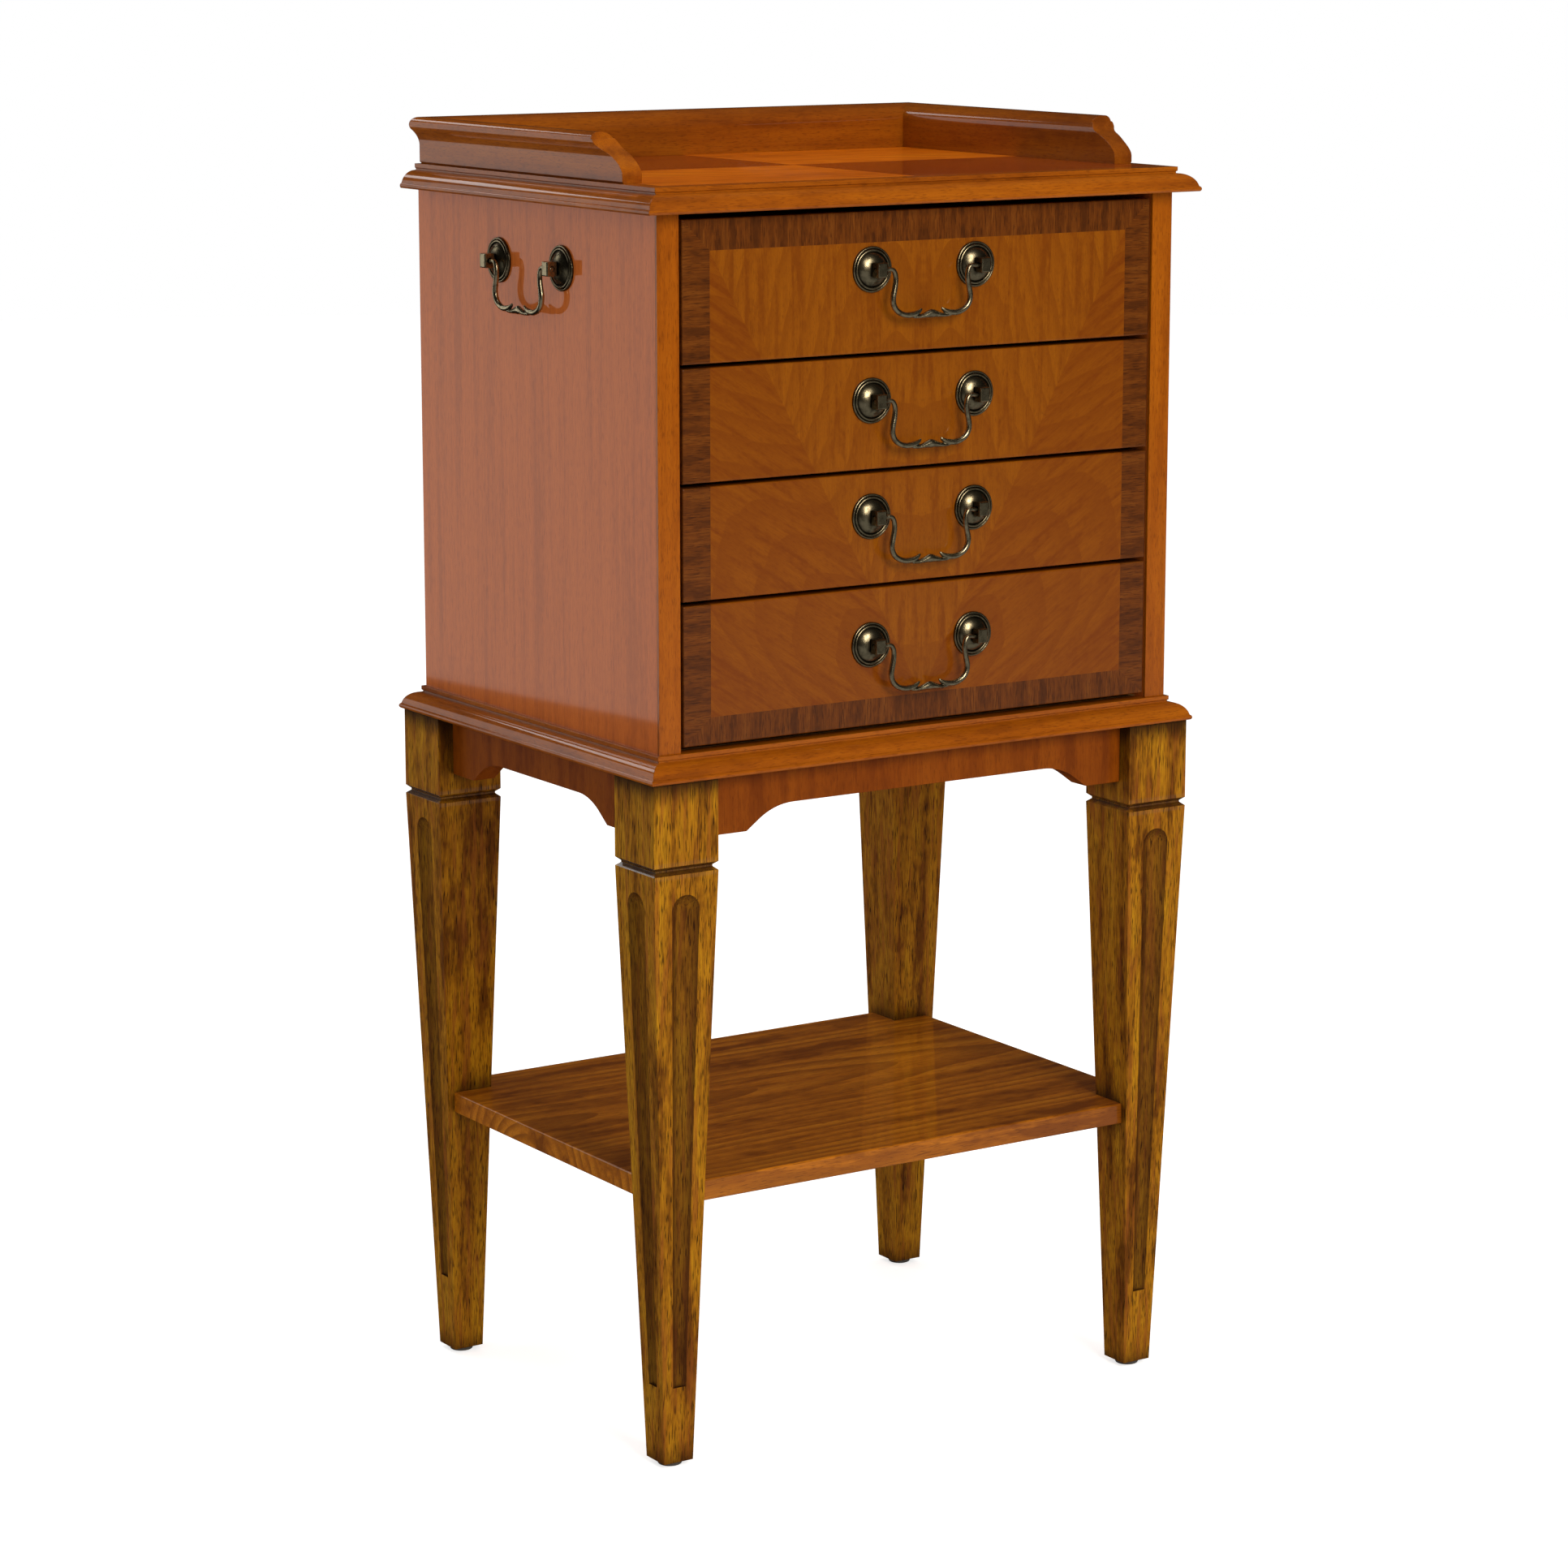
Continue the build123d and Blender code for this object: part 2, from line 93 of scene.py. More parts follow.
def wood(tree, place, axis, tones, glaze, figure, fibre, pore, wave, rings=None):
    """Colour and height of a board whose grain runs along an axis.

    tones are its dark, middle and light colours and glaze the colour in its
    pores. figure, fibre and pore are (mm across, mm long, strength).
    wave is how many millimetres the grain wanders. rings draws growth rings:
    (a spot on the pith, mm between rings, degrees out of line, strength).
    Real pores are a few tenths of a millimetre across or less, too fine to
    show from here, so they are drawn coarser.
    """
    def streaks(source, across, length, **extra):
        shrink = add(tree, "Mapping", {"Vector": source, "Scale": along(axis, across, length)})
        return add(tree, "TexNoise", {"Vector": shrink, "Scale": 1.0, **extra})

    def line(source, low, high, strength):
        return add(tree, "MapRange", {0: source, 1: low, 2: high, 3: 0.0, 4: strength},
                   interpolation_type="SMOOTHSTEP")

    def stain(over, amount, colour):
        return add(tree, "Mix", {0: amount, 6: (over, 2), 7: paint(colour)}, data_type="RGBA")

    drift = streaks(place, 60, 240, Detail=1.0)
    bent = add(tree, "VectorMath", {
        0: (drift, "Color"), 1: [wave / 1000] * 3, 2: place}, operation="MULTIPLY_ADD")
    broad = streaks(bent, figure[0] * 3.5, figure[1] * 1.2, Detail=3.0, Roughness=0.6)
    bands = streaks(bent, figure[0], figure[1], Detail=3.0, Roughness=0.6, Distortion=0.4)
    threads = streaks(bent, fibre[0], fibre[1], Detail=3.0, Roughness=0.65)
    specks = streaks(bent, pore[0], pore[1], Detail=1.5, Roughness=0.5)
    fleck = streaks(bent, figure[0] * 1.7, figure[0] * 4.0, Detail=2.0, Roughness=0.6)
    mixed = add(tree, "Math", {0: fleck, 1: 0.35, 2: (broad, 0)}, operation="MULTIPLY_ADD")
    tone = add(tree, "ValToRGB", {0: mixed}, stops=[
        (0.52, tones[0]), (0.67, tones[1]), (0.84, tones[2])])
    colour = add(tree, "Mix", {0: line(bands, 0.46, 0.68, figure[2]), 6: tone,
                               7: paint(tones[0])}, data_type="RGBA")
    if rings:
        pith, gap, lean, strength = rings
        turned = add(tree, "Mapping", {
            "Vector": bent, "Location": pith,
            "Rotation": [0, math.radians(lean), 0] if axis == "X" else [math.radians(lean), 0, 0]},
            vector_type="TEXTURE")
        # at scale 1 the texture draws a ring every 314 mm
        growth = add(tree, "TexWave", {
            "Vector": turned, "Scale": 314 / gap, "Distortion": 1.4, "Detail": 2.0,
            "Detail Scale": 0.25}, wave_type="RINGS", rings_direction=axis, wave_profile="SAW")
        late = add(tree, "Math", {0: line(growth, 0.30, 0.96, strength), 1: line(
            broad, 0.3, 0.6, 1.0)}, operation="MULTIPLY")
        colour = stain(colour, late, tones[0])
    colour = stain(colour, line(threads, 0.42, 0.68, fibre[2]), tones[0])
    pore_line = line(specks, 0.55, 0.66, pore[2])
    colour = stain(colour, pore_line, glaze)
    height = add(tree, "Math", {0: pore_line, 1: -1.0, 2: threads}, operation="MULTIPLY_ADD")
    return colour, height


def polish(tree, out, colour, height, depth, rough, sheen, coat, coat_rough, arris):
    """Finish over a wood colour: depth and arris are in millimetres."""
    rounded = add(tree, "Bevel", {"Radius": arris / 1000}, samples=4)
    skin = add(tree, "Bump", {"Height": height, "Distance": depth / 1000, "Strength": 1.0,
                              "Normal": rounded})
    shader = add(tree, "BsdfPrincipled", {
        "Base Color": (colour, 2), "Roughness": rough, "IOR": 1.5,
        "Specular IOR Level": sheen, "Normal": skin,
        "Coat Weight": coat, "Coat Roughness": coat_rough, "Coat IOR": 1.5,
        "Coat Normal": rounded})
    tree.links.new(shader.outputs[0], out.inputs[0])


def finish_with(material, *names):
    """Gives CAD nodes a material and keeps their shape as it is."""
    for name in names:
        data = nodes[name].data
        for i in range(len(data.materials)):
            data.materials[i] = material


LEGS = ["leg_front_left", "leg_front_right", "leg_back_right", "leg_back_left"]
# waxed oak: golden olive ground, black-brown pores, and painted shade in the hollows
leg_oak, tree, out = surface("waxed_golden_oak")
place = (add(tree, "TexCoord"), "Object")
colour, height = wood(tree, place, "Z", ("#6a3c0a", "#ab7012", "#bd8416"), "#1e1004",
                      figure=(4, 110, 0.2), fibre=(0.8, 26, 0.6), pore=(0.6, 12, 0.85), wave=4)
ruddy = add(tree, "TexNoise", {"Vector": add(tree, "Mapping", {
    "Vector": place, "Scale": along("Z", 5, 60)}), "Scale": 1.0, "Detail": 2.0})
warm = add(tree, "MapRange", {0: ruddy, 1: 0.50, 2: 0.68, 3: 0.0, 4: 0.5},
           interpolation_type="SMOOTHSTEP")
colour = add(tree, "Mix", {0: warm, 6: (colour, 2), 7: paint("#93501c")}, data_type="RGBA")
# painted shade: the wood darkens wherever ambient occlusion finds a hollow
hollow = add(tree, "AmbientOcclusion", {"Distance": 0.024}, samples=6)
hollow_shade = add(tree, "MapRange", {0: (hollow, "AO"), 1: 0.92, 2: 0.45, 3: 0.0, 4: 0.9},
             interpolation_type="SMOOTHSTEP")
colour = add(tree, "Mix", {0: hollow_shade, 6: (colour, 2), 7: paint("#2e1806")}, data_type="RGBA")
# a band of painted shade round the top of the leg, below the case
UNDER_CASE_SHADE_DEPTH = 0.019
leg_low, leg_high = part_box("leg_back_right")
up_leg = add(tree, "SeparateXYZ", {0: place})
under_case_shade = add(tree, "MapRange", {0: (up_leg, 2), 1: leg_high.z - UNDER_CASE_SHADE_DEPTH, 2: leg_high.z,
                               3: 0.0, 4: 0.85}, interpolation_type="SMOOTHSTEP")
colour = add(tree, "Mix", {0: under_case_shade, 6: (colour, 2), 7: paint("#2a1808")}, data_type="RGBA")
# depth of a spot below the two outer faces, which stand off the middle by half the
# foot's width at the floor and half the neck's width under the groove
FOOT_HALF, NECK_HALF = 0.0124, 0.027
GROOVE_Z, GROOVE_HALF = leg_low.z + 0.448, 0.0062
inward = add(tree, "VectorMath", {0: add(tree, "VectorMath", {0: place}, operation="ABSOLUTE"),
                                  1: (leg_low + leg_high) / 2}, operation="SUBTRACT")
leg_spot = add(tree, "SeparateXYZ", {0: inward})
face = add(tree, "MapRange", {0: (up_leg, 2), 1: leg_low.z, 2: GROOVE_Z - 0.006,
                              3: FOOT_HALF, 4: NECK_HALF})
below_x = add(tree, "Math", {0: face, 1: (leg_spot, 0)}, operation="SUBTRACT")
below_y = add(tree, "Math", {0: face, 1: (leg_spot, 1)}, operation="SUBTRACT")
shallow = add(tree, "Math", {0: below_x, 1: below_y}, operation="MINIMUM")
farther = add(tree, "Math", {0: below_x, 1: below_y}, operation="MAXIMUM")
left_over = add(tree, "Math", {0: face, 1: 2.0, 2: add(tree, "Math", {
    0: farther, 1: -1.0}, operation="MULTIPLY")}, operation="MULTIPLY_ADD")
from_back = add(tree, "MapRange", {0: left_over, 1: 0.003, 2: 0.005, 3: 0.0, 4: 1.0})
# painted shade in the flutes, darkest near their edges
in_flute = add(tree, "MapRange", {0: shallow, 1: 0.0001, 2: 0.0004, 3: 0.0, 4: from_back})
flute_shade_amount = add(tree, "MapRange", {0: shallow, 1: 0.0005, 2: 0.0044, 3: 0.76, 4: 0.4})
flute_shade = add(tree, "Math", {0: in_flute, 1: flute_shade_amount}, operation="MULTIPLY")
colour = add(tree, "Mix", {0: flute_shade, 6: (colour, 2), 7: paint("#34190a")}, data_type="RGBA")
# lacquer pools in the necking groove and shines there
in_neck = add(tree, "Math", {0: (up_leg, 2), 1: GROOVE_Z, 2: GROOVE_HALF},
              operation="COMPARE")
shine = add(tree, "MapRange", {0: in_neck, 1: 0.0, 2: 1.0, 3: 0.05, 4: 0.8})
polish(tree, out, colour, height, 0.10, 0.5, 0.04, shine, 0.14, 0.4)
finish_with(leg_oak, *LEGS)


# ---- Aprons and corner blocks -----------------------------------------------
# Rails between the leg tops, veneered with the grain upright and cut to a
# shaped bracket at each end; glued and blocked to the legs from inside.
APRONS = ["apron_front", "apron_back", "apron_left", "apron_right"]
# sprayed cherry veneer: fine upright reddish lines under a thin lacquer
apron_cherry, tree, out = surface("lacquered_cherry_veneer_upright")
place = (add(tree, "TexCoord"), "Object")
colour, height = wood(tree, place, "Z", ("#723406", "#854007", "#8f4809"), "#4e1f02",
                      figure=(5, 120, 0.25), fibre=(0.9, 45, 0.35), pore=(0.7, 7, 0.35), wave=3)
polish(tree, out, colour, height, 0.03, 0.45, 0.05, 0.12, 0.12, 0.5)
finish_with(apron_cherry, *APRONS)

# sawn pine left bare where it doesn't show: pale, dull and a little furry
bare_pine, tree, out = surface("bare_pine")
place = (add(tree, "TexCoord"), "Object")
colour, height = wood(tree, place, "X", ("#b0813f", "#caa066", "#d6b078"), "#7d5226",
                      figure=(5, 220, 0.25), fibre=(1.0, 40, 0.3), pore=(0.7, 6, 0.3), wave=8,
                      rings=((0, 0.26, 0.72), 7, 2, 0.7))
polish(tree, out, colour, height, 0.12, 0.65, 0.4, 0.0, 0.2, 0.4)
finish_with(bare_pine, "corner_blocks")


# ---- Lower shelf ------------------------------------------------------------
# One board notched round the four legs, its grain running across the front,
# with a rounded arris all round. Stained walnut brown and lacquered bright.
shelf_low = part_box("lower_shelf")[0]
# stained board under a thick bright lacquer: clear rings with a mirror-like coat over them
shelf_walnut, tree, out = surface("lacquered_stained_shelf")
place = (add(tree, "TexCoord"), "Object")
colour, height = wood(tree, place, "X", ("#84460b", "#c57414", "#d28219"), "#5c2c08",
                      figure=(7, 240, 0.25), fibre=(1.0, 45, 0.4), pore=(0.7, 9, 0.5), wave=16,
                      rings=((0.09, 0.03, shelf_low.z - 0.045), 10, 4, 0.75))
polish(tree, out, colour, height, 0.03, 0.45, 0.06, 0.95, 0.04, 0.6)
finish_with(shelf_walnut, "lower_shelf")


# ---- Foot glides ------------------------------------------------------------
# A round nylon glide nailed under each foot, turned grey with use.
# moulded nylon: dull and a little waxy, with fine scuffs about a millimetre apart
glide_nylon, tree, out = surface("worn_nylon_glide")
place = (add(tree, "TexCoord"), "Object")
scuffs = add(tree, "TexNoise", {"Vector": place, "Scale": 900.0, "Detail": 3.0})
colour = add(tree, "Mix", {0: scuffs, 6: paint("#4a453f"), 7: paint("#6b655d")}, data_type="RGBA")
skin = add(tree, "Bump", {"Height": scuffs, "Distance": 0.0001})
shader = add(tree, "BsdfPrincipled", {"Base Color": (colour, 2), "Roughness": 0.5, "IOR": 1.53,
                                      "Normal": skin})
tree.links.new(shader.outputs[0], out.inputs[0])
finish_with(glide_nylon, "foot_glides")


# ---- Base moulding ----------------------------------------------------------
# Moulded frame under the case, mitred at the corners: a fillet, a hollow and a
# rounded nose, run from solid cherry and lacquered so its edges catch light.
def moulding(name, axis, tones):
    """Lacquered solid cherry with its grain along the run of the moulding."""
    material, tree, out = surface(name)
    place = (add(tree, "TexCoord"), "Object")
    colour, height = wood(tree, place, axis, tones, "#5a2602",
                          figure=(5, 220, 0.3), fibre=(1.0, 40, 0.35), pore=(0.7, 6, 0.4), wave=4)
    polish(tree, out, colour, height, 0.02, 0.45, 0.05, 0.8, 0.05, 0.5)
    return material


CHERRY = ("#8a4405", "#a35406", "#ae5e09")
cherry_x = moulding("lacquered_cherry_moulding_x", "X", CHERRY)
cherry_y = moulding("lacquered_cherry_moulding_y", "Y", CHERRY)
cherry_z = moulding("lacquered_cherry_lipping_z", "Z", CHERRY)
finish_with(cherry_x, "base_moulding_front", "base_moulding_back", "top_moulding_front")
finish_with(cherry_y, "base_moulding_left", "base_moulding_right",
            "top_moulding_left", "top_moulding_right")
# the panel inside the frame doesn't show, so it is bare
finish_with(bare_pine, "base_panel")


# ---- Case -------------------------------------------------------------------
# Two veneered sides lipped with solid wood at the front, a thin back let in
# between them, and bare runners fixed inside for the drawers.
# sprayed cherry veneer: straight fine grain that a smooth coat turns milky by a bright wall
side_cherry, tree, out = surface("lacquered_cherry_veneer_side")
place = (add(tree, "TexCoord"), "Object")
colour, height = wood(tree, place, "Z", ("#b85e24", "#c96826", "#cf6c27"), "#823a10",
                      figure=(2.5, 200, 0.25), fibre=(0.7, 40, 0.4), pore=(0.5, 8, 0.35), wave=4)
polish(tree, out, colour, height, 0.015, 0.5, 0.06, 0.68, 0.035, 0.4)
finish_with(side_cherry, "case_side_left", "case_side_right")
finish_with(cherry_z, "case_lipping")
finish_with(bare_pine, "case_back", "drawer_runners")


# ---- Top --------------------------------------------------------------------
# Moulded frame round a veneered panel. The panel is four leaves matched about
# its centre, and alternate quarters are painted darker, as painted shade for the
# way light catches the mirrored grain.
# lacquered veneer: long figure that mirrors across both joints
top_low, top_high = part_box("top_panel")
top_cherry, tree, out = surface("quarter_matched_cherry_top")
place = (add(tree, "TexCoord"), "Object")
leaves = add(tree, "VectorMath", {0: place}, operation="ABSOLUTE")
colour, height = wood(tree, (leaves, 0), "X", ("#c05c06", "#f27c08", "#fa8a0a"), "#8a3e04",
                      figure=(7, 200, 0.3), fibre=(1.0, 50, 0.3), pore=(0.8, 8, 0.25), wave=18,
                      rings=((0, 0.03, top_low.z - 0.06), 7, 6, 0.5))
sides = add(tree, "SeparateXYZ", {0: place})
# painted shade: the quarters where x and y differ in sign are darker, for how light catches the
# mirrored grain
quarter = add(tree, "Math", {0: (sides, 0), 1: (sides, 1)}, operation="MULTIPLY")
shaded_leaf = add(tree, "Math", {0: quarter, 1: 0.0}, operation="LESS_THAN")
leaf_shade = add(tree, "Math", {0: shaded_leaf, 1: 0.86}, operation="MULTIPLY")
colour = add(tree, "Mix", {0: leaf_shade, 6: (colour, 2), 7: paint("#7c2c03")}, data_type="RGBA")
# the veneer lies on the upper face only, so the edges show the stained board
on_edge = add(tree, "Math", {0: (sides, 2), 1: top_high.z - 0.0008}, operation="LESS_THAN")
colour = add(tree, "Mix", {0: on_edge, 6: (colour, 2), 7: paint("#8a4405")}, data_type="RGBA")
polish(tree, out, colour, height, 0.015, 0.45, 0.04, 0.6, 0.06, 0.4)
finish_with(top_cherry, "top_panel")


# ---- Gallery ----------------------------------------------------------------
# Low rail on three sides of the top, run from solid cherry: hollow outside,
# rounded inside, and swept down to the top at its front ends.
# painted shade: the back and right rails take darker tones than the left one, which has the base
# moulding's finish
SHADED_GALLERY = ("#793a05", "#8e4806", "#9a5208")
finish_with(moulding("shaded_cherry_gallery_x", "X", SHADED_GALLERY), "gallery_back")
finish_with(moulding("shaded_cherry_gallery_y", "Y", SHADED_GALLERY), "gallery_right")
finish_with(cherry_y, "gallery_left")


# ---- Drawer fronts ----------------------------------------------------------
# Four fronts veneered as one picture. A triangle of upright grain stands on its
# point in the middle, mirrored across its two long joints into the outer
# leaves; a band of darker walnut, its grain across, frames the whole.
low_1, high_1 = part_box("drawer_1_front")
low_4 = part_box("drawer_4_front")[0]
BAND_SIDE, BAND_TOP, BAND_BOTTOM = 0.0228, 0.0222, 0.0198
half_field = high_1.x - BAND_SIDE
field_low, field_high = low_4.z + BAND_BOTTOM, high_1.z - BAND_TOP
joint = Vector((half_field, 0, field_high - field_low)).normalized()
outward = Vector((joint.z, 0, -joint.x))

# rubbed lacquer over matched veneer: the joints show as a change of figure
front_veneer, tree, out = surface("matched_veneer_with_walnut_band")
place = (add(tree, "TexCoord"), "Object")
folded = add(tree, "VectorMath", {0: place}, operation="ABSOLUTE")
from_point = add(tree, "VectorMath", {0: folded, 1: (0, 0, field_low)}, operation="SUBTRACT")
beyond = add(tree, "VectorMath", {0: from_point, 1: outward}, operation="DOT_PRODUCT")
outer = add(tree, "Math", {0: (beyond, "Value"), 1: 0.0}, operation="MAXIMUM")
back = add(tree, "Math", {0: outer, 1: -2.0}, operation="MULTIPLY")
mirror = add(tree, "VectorMath", {0: outward, "Scale": back}, operation="SCALE")
leaf = add(tree, "VectorMath", {0: folded, 1: mirror}, operation="ADD")
colour, height = wood(tree, (leaf, 0), "Z", ("#7c3e03", "#8f4e05", "#955305"), "#5c2a02",
                      figure=(2.2, 110, 0.2), fibre=(0.7, 36, 0.35), pore=(0.45, 4, 0.3), wave=12,
                      rings=((0.02, low_1.y + 0.07, 0), 4.5, 5, 0.6))
# painted shade: the outer leaves are darker than the middle one, for how light catches the
# mirrored grain
is_outer = add(tree, "Math", {0: outer, 1: 0.0}, operation="GREATER_THAN")
outer_leaf_shade = add(tree, "Math", {0: is_outer, 1: 0.3}, operation="MULTIPLY")
field = add(tree, "Mix", {0: outer_leaf_shade, 6: (colour, 2), 7: paint("#6e2c02")}, data_type="RGBA")

edges = add(tree, "SeparateXYZ", {0: folded})
from_side = add(tree, "MapRange", {0: (edges, 0), 1: half_field, 2: high_1.x, 3: 1.0, 4: 0.0},
                clamp=False)
from_top = add(tree, "MapRange", {0: (edges, 2), 1: field_high, 2: high_1.z, 3: 1.0, 4: 0.0},
               clamp=False)
from_bottom = add(tree, "MapRange", {0: (edges, 2), 1: field_low, 2: low_4.z, 3: 1.0, 4: 0.0},
                  clamp=False)
from_end = add(tree, "Math", {0: from_top, 1: from_bottom}, operation="MINIMUM")
nearest = add(tree, "Math", {0: from_side, 1: from_end}, operation="MINIMUM")
in_band = add(tree, "Math", {0: nearest, 1: 1.0}, operation="LESS_THAN")
in_side = add(tree, "Math", {0: from_side, 1: from_end}, operation="LESS_THAN")
upright = add(tree, "CombineXYZ", {0: (edges, 0), 1: (edges, 1), 2: (edges, 2)})
lying = add(tree, "CombineXYZ", {0: (edges, 2), 1: (edges, 1), 2: (edges, 0)})
cross = add(tree, "Mix", {0: in_side, 4: (upright, 0), 5: (lying, 0)}, data_type="VECTOR")
band, band_height = wood(tree, (cross, 1), "Z", ("#512808", "#6c370a", "#78410f"), "#341804",
                         figure=(2.4, 50, 0.5), fibre=(0.8, 22, 0.6), pore=(0.6, 9, 0.6), wave=6)
colour = add(tree, "Mix", {0: in_band, 6: (field, 2), 7: (band, 2)}, data_type="RGBA")
height = add(tree, "Mix", {0: in_band, 2: height, 3: band_height}, data_type="FLOAT")
polish(tree, out, colour, height, 0.04, 0.45, 0.05, 0.7, 0.10, 0.8)
finish_with(front_veneer, *["drawer_%d_front" % n for n in (1, 2, 3, 4)])


# ---- Drawer boxes -----------------------------------------------------------
# Sides, back and bottom of plain beech, sanded and sealed but not stained.
# sealed beech: pale, short-grained and only faintly shiny
box_beech, tree, out = surface("sealed_beech")
place = (add(tree, "TexCoord"), "Object")
colour, height = wood(tree, place, "Y", ("#b98552", "#cf9f6c", "#dbb082"), "#9a6838",
                      figure=(7, 160, 0.4), fibre=(1.2, 30, 0.35), pore=(0.8, 4, 0.4), wave=4)
polish(tree, out, colour, height, 0.05, 0.5, 0.5, 0.2, 0.3, 0.5)
finish_with(box_beech, *["drawer_%d_%s" % (n, part) for n in (1, 2, 3, 4)
                         for part in ("sides", "back", "bottom")])


# ---- Felt linings -----------------------------------------------------------
# Wool felt laid in each drawer: one piece folded up the four sides, with its
# corners cut out, soft at the folds and a little uneven where it lies.
FELT_THICK = 0.0012
FOLD, CORNER = 0.004, 0.004
# wool felt: dark wine red, dull, with a soft pale bloom at grazing angles. Real hairs are
# some hundredths of a millimetre thick, so they are drawn coarser, at about 0.7 mm
wool_felt, tree, out = surface("wine_red_wool_felt")
place = (add(tree, "TexCoord"), "Object")
hairs = add(tree, "TexNoise", {"Vector": place, "Scale": 1400.0, "Detail": 4.0,
                               "Roughness": 0.7, "Distortion": 1.2})
nap = add(tree, "TexNoise", {"Vector": place, "Scale": 38.0, "Detail": 3.0})
both = add(tree, "Math", {0: nap, 1: 0.35, 2: hairs}, operation="MULTIPLY_ADD")
colour = add(tree, "ValToRGB", {0: both}, stops=[
    (0.45, "#3a0d11"), (0.68, "#541318"), (0.90, "#6c1c22")])
skin = add(tree, "Bump", {"Height": hairs, "Distance": 0.0004, "Strength": 0.8})
shader = add(tree, "BsdfPrincipled", {
    "Base Color": (colour, 0), "Roughness": 0.95, "IOR": 1.5, "Specular IOR Level": 0.2,
    "Sheen Weight": 0.3, "Sheen Roughness": 0.4, "Sheen Tint": paint("#c08078"),
    "Normal": skin})
tree.links.new(shader.outputs[0], out.inputs[0])


def felt_tray(name, low, high):
    """Open tray of felt that fills a box: floor, four walls, and soft folds."""
    mesh = bpy.data.meshes.new(name)
    shell = bmesh.new()
    middle = Vector(((low.x + high.x) / 2, (low.y + high.y) / 2, 0))
    width, depth, rise = high.x - low.x, high.y - low.y, high.z - low.z
    steps = 28
    # lines round the tray as (share of the floor, way in from the wall, way up): from the
    # middle of the floor outward, round the fold, and up the wall to the rim
    lines = [(share, 0.0, 0.0) for share in (0.001, 0.25, 0.5, 0.75, 0.9)]
    for k in range(6):
        turn = math.pi / 2 * k / 5
        lines.append((None, FOLD * (1 - math.sin(turn)), FOLD * (1 - math.cos(turn))))
    for k in range(1, 7):
        lines.append((None, 0.0, FOLD + (rise - FOLD) * k / 6))

    def ring(share, inset, up, skin_in):
        points = []
        half_x = width / 2 - FELT_THICK * skin_in - inset
        half_y = depth / 2 - FELT_THICK * skin_in - inset
        if share is not None:
            half_x, half_y = (half_x - FOLD) * share, (half_y - FOLD) * share
        corner = min(CORNER + inset * 0.4, half_x, half_y) * (0.3 if share else 1.0)
        for q, (sx, sy) in enumerate(((1, -1), (1, 1), (-1, 1), (-1, -1))):
            for k in range(5):
                turn = math.radians(-90 + 90 * q + 90 * k / 4)
                points.append((middle.x + sx * (half_x - corner) + corner * math.cos(turn),
                               middle.y + sy * (half_y - corner) + corner * math.sin(turn)))
            nx, ny = ((1, 1), (-1, 1), (-1, -1), (1, -1))[q]
            end = (middle.x + nx * half_x if q in (0, 2) else middle.x + nx * (half_x - corner),
                   middle.y + ny * (half_y - corner) if q in (0, 2) else middle.y + ny * half_y)
            start = points[-1]
            for k in range(1, steps):
                f = k / steps
                points.append((start[0] + (end[0] - start[0]) * f,
                               start[1] + (end[1] - start[1]) * f))
        # a slow unevenness of a fifth of a millimetre, kept inside the felt's own space
        out_points = []
        for i, (x, y) in enumerate(points):
            swell = 0.0002 * (math.sin(x * 61 + up * 90) + math.sin(y * 47 + x * 23))
            z = low.z + up + (FELT_THICK if skin_in else 0.0)
            z = z + (max(swell, -0.0001) if skin_in and share is not None else 0.0)
            out_points.append(shell.verts.new((x, y, min(z, high.z))))
        return out_points

    upper = [ring(*line, 1.0) for line in lines]
    under = [ring(*line, 0.0) for line in lines]
    stack = upper + under[::-1]
    count = len(stack[0])
    for a, b in zip(stack, stack[1:]):
        for i in range(count):
            j = (i + 1) % count
            shell.faces.new((a[i], a[j], b[j], b[i]))
    shell.faces.new(upper[0][::-1])
    shell.faces.new(under[0])
    bmesh.ops.recalc_face_normals(shell, faces=shell.faces)
    shell.to_mesh(mesh)
    shell.free()
    mesh.shade_smooth()
    tray = bpy.data.objects.new(name, mesh)
    bpy.context.collection.objects.link(tray)
    return tray


for n in (1, 2, 3, 4):
    low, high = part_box("drawer_%d_lining" % n)
    felt = felt_tray("drawer_%d_felt" % n, low, high)
    felt.data.materials.append(wool_felt)
    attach(felt, "drawer_%d" % n)
    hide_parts("drawer_%d_lining" % n)


